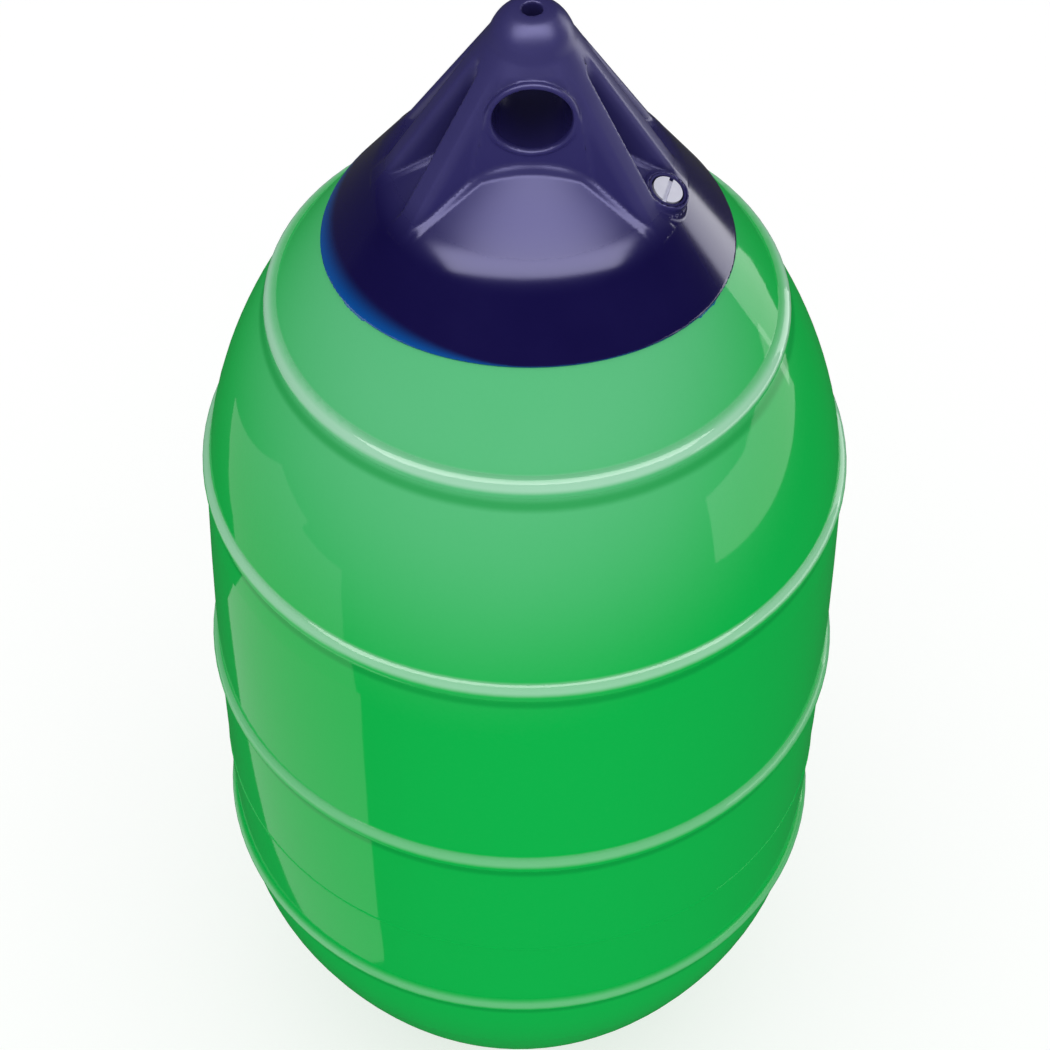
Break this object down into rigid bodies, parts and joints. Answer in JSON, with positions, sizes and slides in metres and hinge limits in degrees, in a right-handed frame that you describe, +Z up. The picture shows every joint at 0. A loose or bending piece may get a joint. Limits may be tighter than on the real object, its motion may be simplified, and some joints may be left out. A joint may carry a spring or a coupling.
{
  "type": "inflatable marker buoy",
  "caption": "Inflated vinyl marker buoy: long float with moulded rings, bonded rope head with webs and a rope eye, and a slotted screw plug in its air valve.",
  "frame": {"origin": "on the buoy's axis at the height of its waterline when it floats empty in fresh water, 100 mm above its lowest point", "axes": "+Z up along the axis to the rope head, -Y out of the front of the rope eye, +X to the side of the air valve"},
  "size_m": [0.3782, 0.3782, 0.8327],
  "materials": {
    "float_vinyl": "glossy moulded vinyl, bright green",
    "head_vinyl": "glossy moulded vinyl, navy blue",
    "seat_vinyl": "smooth moulded vinyl, navy blue",
    "plug_nylon": "smooth moulded nylon, white",
    "seal_rubber": "black sealing rubber"
  },
  "bodies": {
    "buoy": {"float_skin": "float_vinyl", "rope_head": "head_vinyl", "valve_seat": "seat_vinyl"},
    "seal_carrier": {"plug_seal": "seal_rubber"},
    "plug": {"valve_plug": "plug_nylon"}
  },
  "joints": [
    {"name": "plug_rise", "type": "slide", "parent": "buoy", "child": "seal_carrier", "axis": [0.3726, -0.1175, 0.9205], "range_m": [0, 0.01]},
    {"name": "plug_turn", "type": "hinge", "parent": "seal_carrier", "child": "plug", "pos_m": [0.07201, -0.0227, 0.6292], "axis": [0.3726, -0.1175, 0.9205], "range_deg": [0, 1440]}
  ],
  "couplings": [
    {"joint": "plug_rise", "follows": "plug_turn", "m_per_rad": 0.00039789}
  ]
}
